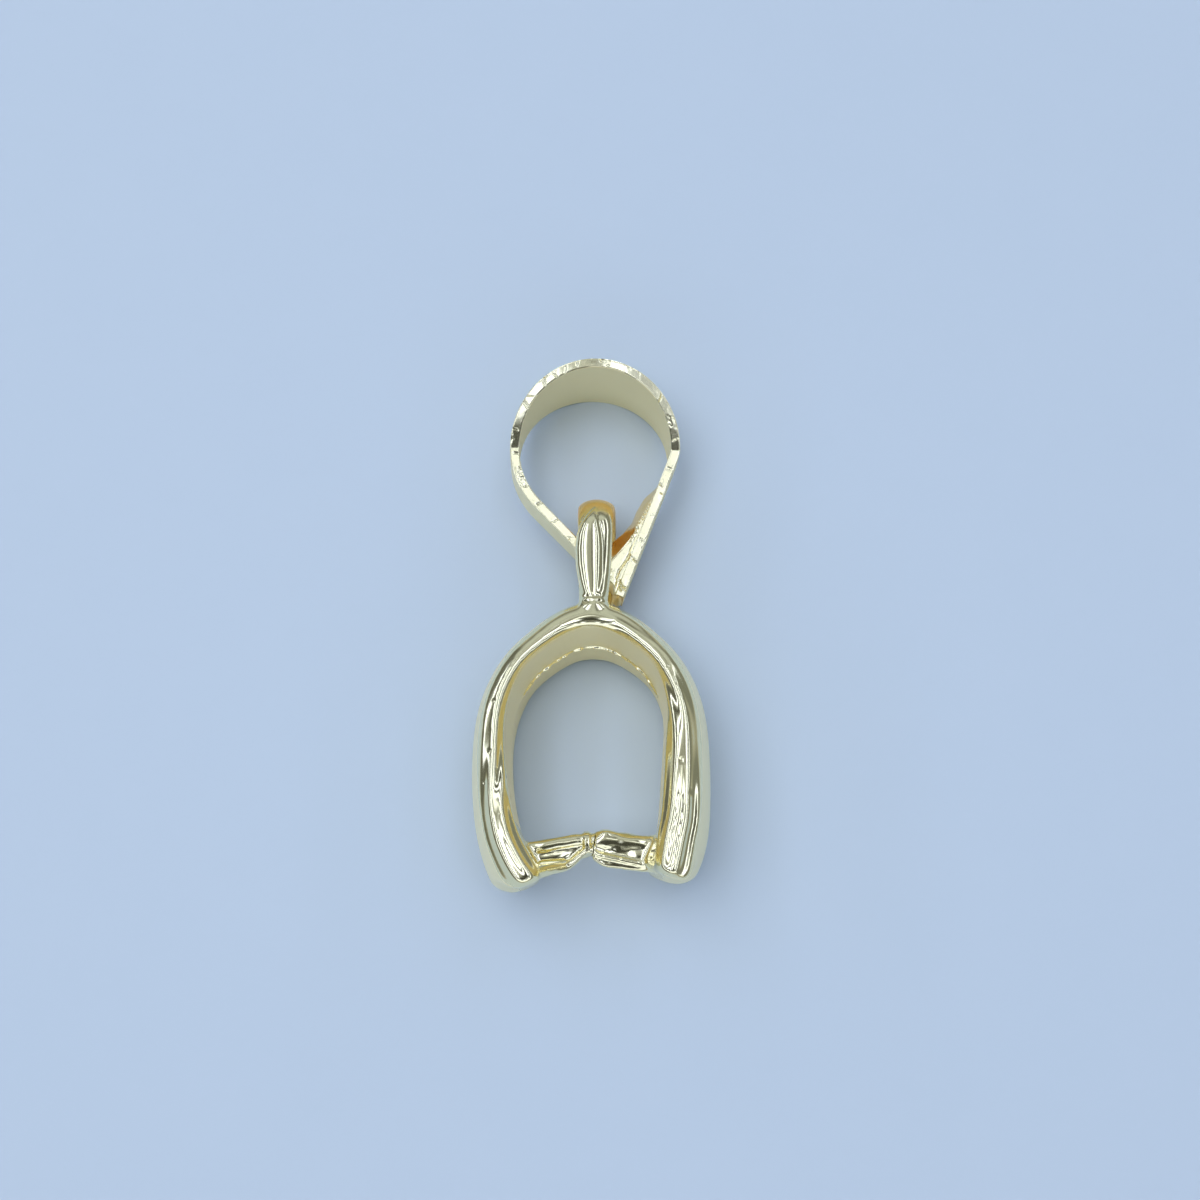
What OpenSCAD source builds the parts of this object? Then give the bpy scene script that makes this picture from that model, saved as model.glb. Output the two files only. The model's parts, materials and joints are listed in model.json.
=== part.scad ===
// Pinch bail: a cast two-armed clip with an eye on its crown, and a strap loop that hangs in the eye.
// The clip's two prongs go into the drilled hole of a stone or pendant, and a chain runs through the loop.
// The bail lies on its side: z is up, y runs from the prongs to the loop, x across the two arms.

/* [Clip] */
// Width of the clip across the rims of its two arms
clip_w = 9.24; // [8.4:0.1:11]
// Length of the left arm from the top of the crown to its end
arm_len = 12.35; // [11:0.1:15]
// How much shorter the right arm is than the left one
arm_odds = 0.4; // [0:0.05:0.6]
// Depth of the clip at its widest place, low on the arms
clip_deep = 6.7; // [6.4:0.1:7.6]
// Thickness of the thickest rim
rim_t = 1.45; // [1.2:0.05:1.6]
// How far the outside of an arm bulges past its rims
dome_h = 0.68; // [0.3:0.02:0.9]
// How far the inside of an arm rises to its mould parting line
ridge_h = 0.16; // [0.05:0.01:0.25]

/* [Eye] */
// Depth of the eye, outside
eye_deep = 4.5; // [4.3:0.05:4.8]
// Thickness of the eye's wire, seen from the side
eye_t = 0.95; // [0.8:0.05:1]
// Width of the eye's wire, along the way through the eye
eye_w = 1.7; // [1.4:0.05:1.8]
// Width of the eye's wire at the eye's foot
eye_foot_w = 1.3; // [1.1:0.05:1.5]
// Straight length of the eye between its two round ends
eye_straight = 1.2; // [1:0.1:2]
// Distance from the eye's upper round centre down to the crown
eye_drop = 3.45; // [3.2:0.05:4.6]

/* [Prongs] */
// Radius of a prong
prong_r = 0.68; // [0.5:0.02:0.75]
// Radius of a prong at its root
prong_root_r = 0.84; // [0.78:0.02:0.95]
// Gap between the two prong tips
tip_gap = 0.08; // [0.04:0.02:0.6]
// Rise of the left prong towards its tip, in degrees
left_rise = 12; // [0:1:14]
// Rise of the right prong towards its tip, in degrees
right_rise = 4.5; // [0:0.5:8]

/* [Strap loop] */
// Outside radius of the loop's round part
loop_r = 3.95; // [3.4:0.05:5]
// Thickness of the strap
strap_t = 0.43; // [0.35:0.01:0.5]
// Width of the strap at the top of the loop
strap_w = 5.2; // [4.2:0.1:6]
// Width of the strap at its two arms
strap_arm_w = 2.4; // [2:0.1:2.5]
// Width of the strap inside the eye
strap_end_w = 2.1; // [1.6:0.1:2.1]
// Height of the loop's centre above the eye's upper round centre
loop_up = 4.4; // [4.2:0.1:6]
// Straight length of the left arm, down into the eye
left_arm_len = 4.58; // [4.5:0.02:4.7]
// Lean of the right arm from upright, in degrees
right_lean = 21.4; // [20:0.2:24]
// Length of the right arm, down past the eye
right_arm_len = 7.0; // [6.6:0.1:7.2]
// Height of the soldered end on the inside of the right arm, up from the fold
lap_len = 5.8; // [4.8:0.1:6]
// Thickness of the soldered end and its solder
lap_t = 0.52; // [0.35:0.01:0.6]

/* [Rest] */
// Roll of the strap loop against the clip as the bail lies, in degrees
loop_roll = 3.4; // [0:0.2:4]
// How far the strap's middle lies above the clip's middle at the eye
loop_lift = 0.1; // [0:0.02:0.16]

/* [Hidden] */
GOLD = [0.80, 0.77, 0.60];
PALE_GOLD = [0.86, 0.83, 0.67];
// Slack that stands in for a hand fit between hard pieces
fit_gap = 0.08;
$fn = 64;

// Rows down one arm, from the crown to its end, chosen by hand. The columns are the left and the right
// rim's distance from the middle as a share of half the clip's width, the distance down as a share of the
// arm length, the left and the right rim's thickness as shares of rim_t, and the half depth as a share of
// the clip's half depth.
LEFT_X = 0;
RIGHT_X = 1;
DOWN = 2;
LEFT_T = 3;
RIGHT_T = 4;
DEEP = 5;
ARM_ROWS = [
    [0.000, 0.000, 0.010, 0.66, 0.66, 0.73],
    [0.215, 0.215, 0.028, 0.62, 0.62, 0.735],
    [0.405, 0.405, 0.073, 0.57, 0.57, 0.75],
    [0.577, 0.577, 0.130, 0.53, 0.53, 0.78],
    [0.740, 0.732, 0.192, 0.51, 0.54, 0.815],
    [0.860, 0.850, 0.268, 0.52, 0.61, 0.86],
    [0.942, 0.930, 0.349, 0.54, 0.70, 0.905],
    [0.988, 0.975, 0.434, 0.57, 0.79, 0.95],
    [1.004, 0.992, 0.531, 0.61, 0.88, 0.985],
    [0.998, 1.000, 0.643, 0.68, 0.97, 1.000],
    [0.968, 0.992, 0.764, 0.75, 1.00, 0.985],
    [0.918, 0.965, 0.853, 0.80, 1.00, 0.945],
    [0.860, 0.920, 0.918, 0.82, 0.98, 0.87],
    [0.796, 0.860, 0.970, 0.76, 0.88, 0.75],
    [0.745, 0.805, 0.993, 0.58, 0.66, 0.57],
    [0.710, 0.765, 1.000, 0.24, 0.28, 0.34],
];
LAST_ROW = len(ARM_ROWS) - 1;
// From this row on the sections only round the arm's end, so they all face one way
END_ROW = 12;
STEPS_PER_ROW = 2;
STATIONS = LAST_ROW * STEPS_PER_ROW;

half_w = clip_w / 2;
half_deep = clip_deep / 2;
eye_r = eye_deep / 2;
eye_mid_r = eye_r - eye_t / 2;
hole_r = eye_r - eye_t;

// A row past the crown is its neighbour mirrored, and a row past the end is the last one
function arm_row(k) =
    k < 0 ? [for (c = [LEFT_X:DEEP]) (c < DOWN ? -1 : 1) * ARM_ROWS[-k][c]] : ARM_ROWS[min(k, LAST_ROW)];
// A smooth curve through b and c, between its neighbours a and d
function smooth(a, b, c, d, f) =
    b + f * ((c - a) / 2 + f * ((2 * a - 5 * b + 4 * c - d) / 2 + f * (3 * b - 3 * c + d - a) / 2));
function arm_at(u) =
    let (k = min(floor(u), LAST_ROW - 1))
    smooth(arm_row(k - 1), arm_row(k), arm_row(k + 1), arm_row(k + 2), u - k);
// The station i counts from the left arm's end (-STATIONS) over the crown (0) to the right arm's (STATIONS)
function station(i) = arm_at(abs(i) / STEPS_PER_ROW);
function rim_point(i) =
    let (row = station(i))
    [
        sign(i) * row[i < 0 ? LEFT_X : RIGHT_X] * half_w,
        -eye_drop - row[DOWN] * (arm_len - (i < 0 ? 0 : arm_odds * row[DOWN])),
    ];
function rim_way(i) =
    let (
        last = END_ROW * STEPS_PER_ROW,
        k = max(-last, min(last, i)),
        d = rim_point(k + 0.5) - rim_point(k - 0.5)
    )
    d / norm(d);
function rim_out(i) = [-rim_way(i)[1], rim_way(i)[0]];
function rim_thick(i) = rim_t * station(i)[i < 0 ? LEFT_T : RIGHT_T];
function rim_deep(i) = half_deep * station(i)[DEEP];
function end_fade(i) = min(1, (STATIONS - abs(i)) / (2 * STEPS_PER_ROW));

// One section of the arm: a slot shape that bulges outside and has a low ridge inside
RIM_STEPS = 6;
SIDE_STEPS = 6;
SECTION_ANGLES = [for (k = [0:RIM_STEPS]) 180 * k / RIM_STEPS];
function section_point(i, z, turn, r) =
    let (
        deep = rim_deep(i),
        share = abs(z) / deep,
        outer = (1 + cos(turn)) / 2,
        swell = end_fade(i) * (outer * dome_h * (1 - share * share) - (1 - outer) * ridge_h * (1 - share)),
        from_mid = r * cos(turn) + swell - r,
        p = rim_point(i) + from_mid * rim_out(i)
    )
    [p[0], p[1], z];
function section(i) =
    let (
        r = min(rim_thick(i) / 2, rim_deep(i) * 0.95),
        flat = rim_deep(i) - r
    )
    [
        for (a = SECTION_ANGLES) section_point(i, flat + r * sin(a), a, r),
        for (k = [1:SIDE_STEPS - 1]) section_point(i, flat * (1 - 2 * k / SIDE_STEPS), 180, r),
        for (a = SECTION_ANGLES) section_point(i, -flat - r * sin(a), 180 - a, r),
        for (k = [1:SIDE_STEPS - 1]) section_point(i, -flat * (1 - 2 * k / SIDE_STEPS), 0, r),
    ];

function middle(points) = [for (c = [0:2]) sum_of(points, c) / len(points)];
function sum_of(points, c, k = 0) = k == len(points) ? 0 : points[k][c] + sum_of(points, c, k + 1);

// A closed skin over a list of sections that all have as many points
module loft(sections) {
    m = len(sections[0]);
    n = len(sections);
    polyhedron(
        points = [for (s = sections) each s, middle(sections[0]), middle(sections[n - 1])],
        faces = [
            for (j = [0:m - 1]) [n * m, j, (j + 1) % m],
            for (i = [0:n - 2], j = [0:m - 1], half = [0, 1])
                let (a = i * m + j, b = i * m + (j + 1) % m)
                half == 0 ? [a, a + m, b] : [b, a + m, b + m],
            for (j = [0:m - 1]) [n * m + 1, (n - 1) * m + (j + 1) % m, (n - 1) * m + j],
        ]
    );
}

module arms() {
    loft([for (i = [-STATIONS:STATIONS]) section(i)]);
}

// The wire of the eye in section: straight in the middle, round at both edges
module eye_section() {
    r = eye_t / 2;
    for (side = [-1, 1]) translate([side * (eye_w / 2 - r), 0]) circle(r);
    square([eye_w - eye_t, eye_t], center = true);
}

module eye_bend() {
    rotate([0, 90, 0]) rotate_extrude(angle = 180) translate([eye_mid_r, 0]) rotate(90) eye_section();
}

// The eye's outline from above: as wide as the wire, and narrower at the foot
module eye_taper() {
    foot_y = -eye_straight - hole_r;
    low = -eye_drop - rim_t;
    half_top = eye_w / 2;
    half_foot = eye_foot_w / 2;
    polygon([
        [-half_top, eye_r], [-half_top, 0], [-half_foot, foot_y], [-half_foot, low],
        [half_foot, low], [half_foot, foot_y], [half_top, 0], [half_top, eye_r],
    ]);
}

// The eye: a long ring that stands on the crown, open along x
module eye() {
    intersection() {
        union() {
            eye_bend();
            translate([0, -eye_straight, 0]) mirror([0, 1, 0]) eye_bend();
            for (side = [-1, 1])
                rotate([90, 0, 0])
                    linear_extrude(eye_drop + rim_t / 4) translate([0, side * eye_mid_r]) eye_section();
        }
        linear_extrude(2 * eye_deep, center = true) eye_taper();
    }
}

// Rows down the eye's foot: distance down as a share from the hole's lower end to the crown's middle,
// and half width as a share of the eye's width
FOOT_ROWS = [[0.12, 0.36], [0.45, 0.37], [0.70, 0.44], [0.90, 0.62], [1.15, 0.98]];
FOOT_SIDES = 20;

module foot() {
    top = -eye_straight - hole_r;
    fall = eye_drop + top;
    loft([
        for (row = FOOT_ROWS)
            [for (j = [0:FOOT_SIDES - 1])
                let (a = 360 * j / FOOT_SIDES)
                [
                    row[1] * eye_w * sign(cos(a)) * sqrt(abs(cos(a))),
                    top - row[0] * fall,
                    (eye_r - eye_t / 4) * sign(sin(a)) * sqrt(abs(sin(a))),
                ]]
    ]);
}

// A prong on the inside of an arm, from its root in the arm to its blunt tip
PRONG_ROW = 11;
TIP_BEVEL = 0.14;
ROOT_SHARE = 0.34;
prong_y = -eye_drop - ARM_ROWS[PRONG_ROW][DOWN] * arm_len;
function prong_reach(side) =
    let (row = ARM_ROWS[PRONG_ROW])
    row[side < 0 ? LEFT_X : RIGHT_X] * half_w - tip_gap / 2 - rim_t * row[side < 0 ? LEFT_T : RIGHT_T] / 2;

module prong(side, rise) {
    reach = prong_reach(side) / cos(rise);
    root = reach * ROOT_SHARE;
    translate([side * tip_gap / 2, prong_y, 0]) rotate([0, 0, -side * rise]) rotate([0, side * 90, 0]) {
        cylinder(h = TIP_BEVEL, r1 = prong_r - TIP_BEVEL, r2 = prong_r);
        translate([0, 0, TIP_BEVEL]) cylinder(h = reach - TIP_BEVEL, r = prong_r);
        translate([0, 0, reach - root]) cylinder(h = root, r1 = prong_r, r2 = prong_root_r);
    }
}

// How far a piece tilts until a point on its far edge, reach away and half its depth below the middle,
// comes down to the surface on which the near end stands at a height of drop
function rest_tilt(reach, half, drop) = acos(drop / norm([reach, half])) - atan(reach / half);
clip_tilt = max([for (i = [1:STATIONS]) rest_tilt(-rim_point(i)[1], rim_deep(i), eye_r)]);

// The strap loop, drawn flat around the same centre. Angles count from +x.
BEND_ANGLE = -5;
ARC_END = 224.5;
loop_in_r = loop_r - strap_t;
function dir(a) = [cos(a), sin(a)];
loop_mid = [0, loop_up];
bend = loop_mid + loop_in_r * dir(BEND_ANGLE);
right_way = -dir(90 - right_lean);
right_out = dir(-right_lean);
left_way = dir(ARC_END + 90);
left_start = loop_mid + (loop_r - strap_t / 2) * dir(ARC_END);
fold = left_start + left_arm_len * left_way;
tail = bend + right_arm_len * right_way;
// The left arm's end is folded up at the eye and lies against the inside of the right arm. It thins out to
// its head over one thickness, and solder thickens it at the knee where it leaves the right arm
LAP_SHOULDER = 0.8;
LAP_KNEE = 1.4;
lap_foot = bend + (right_arm_len - lap_len / 2) * right_way;
lap_head = bend + (right_arm_len - lap_len) * right_way;
lap_shoulder = lap_head + lap_t * (right_way - LAP_SHOULDER * right_out);
lap_knee = lap_foot - LAP_KNEE * lap_t * right_out;
vee = fold - 2 * strap_t * left_way + strap_t / 4 * dir(ARC_END + 180);

module bar(from, to, t) {
    way = to - from;
    translate(from) rotate(atan2(way[1], way[0])) translate([0, -t / 2]) square([norm(way), t]);
}

module loop_arc() {
    reach = 2 * loop_r;
    turn = (ARC_END - BEND_ANGLE) / 4;
    translate(loop_mid) intersection() {
        difference() {
            circle(loop_r, $fn = 128);
            circle(loop_in_r, $fn = 128);
        }
        polygon([[0, 0], for (k = [0:4]) reach * dir(BEND_ANGLE + k * turn)]);
    }
}

module loop_outline() {
    loop_arc();
    polygon([
        bend,
        loop_mid + (loop_r - strap_t / 2) * dir(BEND_ANGLE + 2),
        bend + strap_t * dir(BEND_ANGLE),
        bend + strap_t * right_out,
        bend + strap_t / 2 * (right_out + right_way),
    ]);
    bar(bend + strap_t / 2 * right_out, tail + strap_t / 2 * right_out, strap_t);
    bar(left_start, fold, strap_t);
    translate(left_start) circle(strap_t / 2);
    translate(fold) circle(strap_t / 2);
    bar(fold, lap_foot, strap_t);
}

// The strap's width is least in the eye and grows up the arms and round the loop
module strap_side() {
    low = tail[1] - strap_t;
    steps = [[low, strap_end_w], [0, strap_end_w], [loop_up, strap_arm_w], [loop_top + strap_t, strap_w]];
    polygon([
        for (s = steps) [s[0], s[1] / 2],
        for (k = [len(steps) - 1:-1:0]) [steps[k][0], -steps[k][1] / 2],
    ]);
}

// Widths of the soldered end and of the solder at the fold, as shares of the strap's width in the eye
LAP_WIDTH = 0.72;
SOLDER_WIDTH = 0.9;
module lap_outline() {
    polygon([lap_head, lap_shoulder, lap_knee, vee, fold, lap_foot + strap_t / 2 * right_out]);
    polygon([lap_head, lap_knee, lap_foot + strap_t / 2 * right_out, lap_head + strap_t / 2 * right_out]);
}

module solder_outline() {
    corner = [max(eye_w / 2 + fit_gap, fold[0]), tail[1] + strap_t];
    polygon([fold, lap_foot, tail, corner, fold + strap_t / 2 * dir(-75)]);
}

lift_y = loop_lift * sin(clip_tilt);
lift_z = loop_lift * cos(clip_tilt);
function edge_half(y) = (strap_arm_w + (strap_w - strap_arm_w) * (y - loop_up) / (loop_r + strap_t)) / 2;
loop_tilt = max([
    for (a = [40:2:140])
        let (p = loop_mid + loop_r * dir(a))
        rest_tilt(p[1], edge_half(p[1]), (eye_r + lift_z - p[0] * sin(loop_roll)) / cos(loop_roll))
]);

// Everything is drawn around the eye's upper round centre, and then laid on the surface
loop_top = loop_up + loop_r;
loop_far = loop_top * cos(loop_tilt) + strap_w / 2 * sin(loop_tilt) + loop_lift * sin(clip_tilt);
arm_far = min([
    for (i = [-STATIONS:STATIONS], p = section(i))
        p[1] * cos(clip_tilt) + p[2] * sin(clip_tilt)
]);
mid_y = (loop_far + arm_far) / 2;

module lay_clip() {
    translate([0, -mid_y, eye_r]) rotate([-clip_tilt, 0, 0]) children();
}

module pinch_clip() {
    color(GOLD) lay_clip() {
        arms();
        eye();
        foot();
        prong(-1, left_rise);
        prong(1, right_rise);
    }
}

module lay_loop() {
    translate([0, lift_y - mid_y, eye_r + lift_z]) rotate([loop_tilt, loop_roll, 0]) children();
}

module chain_loop() {
    color(PALE_GOLD) lay_loop() {
        intersection() {
            linear_extrude(2 * strap_w, center = true) loop_outline();
            rotate([90, 0, 90]) linear_extrude(4 * loop_r, center = true) strap_side();
        }
        linear_extrude(strap_end_w * SOLDER_WIDTH, center = true) solder_outline();
        linear_extrude(strap_end_w * LAP_WIDTH, center = true) lap_outline();
    }
}

pinch_clip();
chain_loop();
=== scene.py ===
"""A pale gold pinch bail lying on its side: a cast clip with an eye and two prongs, and a strap loop."""

import json
import math

import bmesh
import bpy
import numpy as np
from mathutils import Matrix, Vector


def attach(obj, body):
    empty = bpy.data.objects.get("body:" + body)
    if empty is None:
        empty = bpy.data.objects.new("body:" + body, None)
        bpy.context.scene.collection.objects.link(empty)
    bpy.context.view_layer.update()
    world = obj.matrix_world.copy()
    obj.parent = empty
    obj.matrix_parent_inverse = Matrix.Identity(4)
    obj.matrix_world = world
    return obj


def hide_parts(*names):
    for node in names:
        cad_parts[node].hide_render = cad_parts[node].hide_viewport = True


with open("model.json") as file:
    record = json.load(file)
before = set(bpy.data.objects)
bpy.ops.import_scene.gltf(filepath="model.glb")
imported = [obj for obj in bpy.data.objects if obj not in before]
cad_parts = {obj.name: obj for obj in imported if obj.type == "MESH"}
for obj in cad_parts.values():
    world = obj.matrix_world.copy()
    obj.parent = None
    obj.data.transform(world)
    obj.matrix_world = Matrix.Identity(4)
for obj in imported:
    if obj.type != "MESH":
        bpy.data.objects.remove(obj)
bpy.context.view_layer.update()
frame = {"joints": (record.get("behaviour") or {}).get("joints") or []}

MM = 0.001

# The sizes of the bail in millimetres, as in the CAD model but for a dome 0.02 lower, a narrower gap between
# the tips, and CROWN_RIDGE and CROWN_BACK, which only this model has. The clip and the loop are both made
# around the eye's upper round centre, with y towards the loop and z towards the viewer.
CLIP_W = 9.24
ARM_LEN = 12.35
ARM_ODDS = 0.4
CLIP_DEEP = 6.7
RIM_T = 1.45
DOME_H = 0.66
RIDGE_H = 0.16
CROWN_RIDGE = 0.10
CROWN_BACK = 0.22
EYE_DEEP = 4.5
EYE_T = 0.95
EYE_DROP = 3.45
TIP_GAP = 0.045
LOOP_R = 3.95
STRAP_T = 0.43
STRAP_W = 5.2
STRAP_ARM_W = 2.4
STRAP_END_W = 2.1
LOOP_UP = 4.4
LEFT_ARM_LEN = 4.58
RIGHT_LEAN = math.radians(21.4)
RIGHT_ARM_LEN = 7.0
BEND_ANGLE = math.radians(-5)
ARC_END = math.radians(224.5)

EYE_R = EYE_DEEP / 2
EYE_MID_R = EYE_R - EYE_T / 2

# Rows down one arm, from the crown to its end: the left and the right rim's distance from the middle as
# a share of half the clip's width, the distance down as a share of the arm length, the left and the
# right rim's thickness as shares of RIM_T, and the half depth as a share of half the clip's depth
ARM_ROWS = np.array([
    [0.000, 0.000, 0.010, 0.66, 0.66, 0.73],
    [0.215, 0.215, 0.028, 0.62, 0.62, 0.735],
    [0.405, 0.405, 0.073, 0.57, 0.57, 0.75],
    [0.577, 0.577, 0.130, 0.53, 0.53, 0.78],
    [0.740, 0.732, 0.192, 0.51, 0.54, 0.815],
    [0.860, 0.850, 0.268, 0.52, 0.61, 0.86],
    [0.942, 0.930, 0.349, 0.54, 0.70, 0.905],
    [0.988, 0.975, 0.434, 0.57, 0.79, 0.95],
    [1.004, 0.992, 0.531, 0.61, 0.88, 0.985],
    [0.998, 1.000, 0.643, 0.68, 0.97, 1.000],
    [0.968, 0.992, 0.764, 0.75, 1.00, 0.985],
    [0.918, 0.965, 0.853, 0.80, 1.00, 0.945],
    [0.860, 0.920, 0.918, 0.88, 1.00, 0.89],
    [0.796, 0.860, 0.970, 0.92, 1.00, 0.81],
    [0.745, 0.805, 0.993, 0.86, 0.92, 0.67],
    [0.710, 0.765, 1.000, 0.60, 0.64, 0.42],
])
LAST_ROW = len(ARM_ROWS) - 1
# Beyond this row the rims' direction stays as it is there
END_ROW = 12
# How much further the near rim reaches towards the viewer at the arms' ends, by row
NEAR_ENDS = ([11.5, 12, 13, 14, 15], [1, 1.03, 1.13, 1.33, 1.8])
# How far the near end of the left and of the right arm is shifted, across and along
END_SHIFT = ((0.34, -0.50), (0.34, -0.55))
# The heights over the clip's middle between which that shift sets in
SHIFT_FROM = 1.0
SHIFT_TO = 2.6
# Rings for each row of an arm, and points round a rim and across the dome and the inner wall
RINGS_PER_ROW = 24
RIM_N = 45
FACE_N = 25
# How many places along the arms are blended to even them out
EVEN = 12
# The crown's middle and half its width, where the inner wall has more of a ridge and its far half stands in
CROWN_X = 0.1
CROWN_HALF = 3.6

# The flutes along the rims: radians of flute to a radian round a rim of the radius FLUTE_R, their depth,
# what they gain on it towards the arms' ends, and their share of it on the side that lies on the floor
FLUTES = 6.8
FLUTE_R = 0.64
FLUTE_DEPTH = 0.033
FLUTE_GAIN = 0.010
FAR_FLUTES = 0.4
# How far the rims wander from their round under the flutes
WANDER = 0.022


# Numbers that repeat the same way each run

LATTICE = 24
# How far places are moved on the lattice
LATTICE_SHIFT = 7.3


def noise(points, size, seed):
    """Smooth noise from -1 to 1 at each point. size is how far apart it changes, one number or three."""
    grid = np.random.default_rng(seed).uniform(-1, 1, (LATTICE,) * 3)
    q = np.asarray(points, float) / size + LATTICE_SHIFT
    cell = np.floor(q).astype(int)
    f = q - cell
    f = f**3 * (f * (6 * f - 15) + 10)
    total = np.zeros(len(q))
    for dx in (0, 1):
        for dy in (0, 1):
            for dz in (0, 1):
                weight = abs(1 - dx - f[:, 0]) * abs(1 - dy - f[:, 1]) * abs(1 - dz - f[:, 2])
                i, j, k = ((cell + (dx, dy, dz)) % LATTICE).T
                total += weight * grid[i, j, k]
    return total


def step(low, high, x):
    """0 below low, 1 above high, and smooth between them."""
    t = np.clip((x - low) / (high - low), 0, 1)
    return t * t * (3 - 2 * t)


def evened(values, half):
    """The values along a line, each blended with its neighbours up to half places away. The ends stay."""
    kernel = np.hanning(2 * half + 3)[1:-1]
    kernel /= kernel.sum()
    values = np.asarray(values, float)
    columns = values.reshape(len(values), -1)
    padded = np.pad(columns, ((half, half), (0, 0)), mode="reflect", reflect_type="odd")
    result = [np.convolve(padded[:, k], kernel, "valid") for k in range(columns.shape[1])]
    return np.array(result).T.reshape(values.shape)


def bump(x, middle, half):
    """A smooth hump of height 1 round middle that ends half away from it."""
    return step(1, 0, np.abs(x - middle) / half)


def bulged(wave, power):
    """A sine or cosine pushed outwards, so that it draws a shape between a circle and a square."""
    return np.sign(wave) * np.abs(wave) ** power


def lengths(points):
    """How far along a line of points each of them lies."""
    return np.r_[0, np.cumsum(np.linalg.norm(np.diff(points, axis=0), axis=1))]


# Meshes as arrays

def skin(rings):
    """Vertices and faces of a skin over rings of points, with a fan over each end."""
    rings = np.asarray(rings, float)
    n, m = rings.shape[:2]
    verts = np.vstack([rings.reshape(-1, 3), rings[0].mean(0), rings[-1].mean(0)])
    faces = []
    for i in range(n - 1):
        for j in range(m):
            k = (j + 1) % m
            faces.append((i * m + j, i * m + k, (i + 1) * m + k, (i + 1) * m + j))
    for j in range(m):
        k = (j + 1) % m
        faces.append((n * m, k, j))
        faces.append((n * m + 1, (n - 1) * m + j, (n - 1) * m + k))
    return verts, faces


def ball(centre, radii, n=20):
    """An ellipsoid as a skin over rings."""
    rings = []
    for a in np.linspace(0.02, math.pi - 0.02, n):
        t = np.linspace(0, 2 * math.pi, 2 * n, endpoint=False)
        ring = np.c_[np.sin(a) * np.cos(t), np.sin(a) * np.sin(t), np.full(len(t), np.cos(a))]
        rings.append(ring * radii + centre)
    return skin(rings)


def joined(name, parts):
    """One Blender object from several (vertices, faces), in millimetres."""
    verts, faces, start = [], [], 0
    for v, f in parts:
        verts.append(v)
        faces.extend([tuple(i + start for i in face) for face in f])
        start += len(v)
    mesh = bpy.data.meshes.new(name)
    mesh.from_pydata(np.vstack(verts).tolist(), [], faces)
    mesh.update()
    obj = bpy.data.objects.new(name, mesh)
    bpy.context.scene.collection.objects.link(obj)
    outward(mesh)
    return obj


def outward(mesh):
    """Turns all the faces of a closed mesh to the outside."""
    bm = bmesh.new()
    bm.from_mesh(mesh)
    bmesh.ops.recalc_face_normals(bm, faces=bm.faces)
    bm.to_mesh(mesh)
    bm.free()


def fused(obj, voxel):
    """Gives obj one closed skin round all its parts, with faces of about the voxel's size."""
    parts = obj.copy()
    parts.data = obj.data.copy()
    bpy.context.scene.collection.objects.link(parts)
    remesh = obj.modifiers.new("fuse", "REMESH")
    remesh.mode = "VOXEL"
    remesh.voxel_size = voxel
    remesh.adaptivity = 0
    wrap = obj.modifiers.new("wrap", "SHRINKWRAP")
    wrap.wrap_method = "NEAREST_SURFACEPOINT"
    wrap.target = parts
    apply_modifiers(obj)
    removed(parts)


def removed(obj):
    """Takes a helper object and its mesh out of the file."""
    mesh = obj.data
    bpy.data.objects.remove(obj)
    bpy.data.meshes.remove(mesh)


def apply_modifiers(obj):
    """Makes what the modifiers show the object's own mesh."""
    depsgraph = bpy.context.evaluated_depsgraph_get()
    mesh = bpy.data.meshes.new_from_object(obj.evaluated_get(depsgraph))
    old = obj.data
    obj.modifiers.clear()
    obj.data = mesh
    bpy.data.meshes.remove(old)


def points_of(obj):
    """The mesh's points, one row each."""
    co = np.empty(len(obj.data.vertices) * 3)
    obj.data.vertices.foreach_get("co", co)
    return co.reshape(-1, 3)


def set_points(obj, co):
    """Moves the mesh's points to these places."""
    obj.data.vertices.foreach_set("co", np.ascontiguousarray(co, float).ravel())
    obj.data.update()


def normals_of(obj):
    """The unit normal at each point."""
    n = np.empty(len(obj.data.vertices) * 3)
    obj.data.vertices.foreach_get("normal", n)
    return n.reshape(-1, 3)


def edges_of(obj):
    """The two points of each edge."""
    e = np.empty(len(obj.data.edges) * 2, int)
    obj.data.edges.foreach_get("vertices", e)
    return e.reshape(-1, 2)


# Each round of smoothing moves the points by one share of the way to their neighbours' middle, and then back
FORTH = 0.5
BACK = -0.52


def smoothed(co, edges, rounds, mask=None, back=BACK):
    """Evens out the points, where the mask says so. The move back keeps the volume."""
    a, b = edges.T
    count = np.bincount(edges.ravel(), minlength=len(co))[:, None]
    weight = 1 if mask is None else mask[:, None]
    moves = [move for move in (FORTH, back) if move]
    for _ in range(rounds):
        for move in moves:
            total = np.zeros_like(co)
            for axis in range(3):
                total[:, axis] = np.bincount(a, co[b, axis], len(co))
                total[:, axis] += np.bincount(b, co[a, axis], len(co))
            co = co + weight * move * (total / count - co)
    return co


# The clip

def curve_rows(rows, u):
    """The rows' values at u, on a smooth curve that is mirrored at the crown."""
    k = np.minimum(np.floor(u).astype(int), LAST_ROW - 1)
    f = (u - k)[:, None]

    def row(i):
        values = rows[np.clip(np.abs(i), 0, LAST_ROW)].copy()
        values[i < 0, 0:2] *= -1
        return values

    a, b, c, d = row(k - 1), row(k), row(k + 1), row(k + 2)
    return b + f * ((c - a) / 2 + f * ((2 * a - 5 * b + 4 * c - d) / 2 + f * (3 * b - 3 * c + d - a) / 2))


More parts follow.
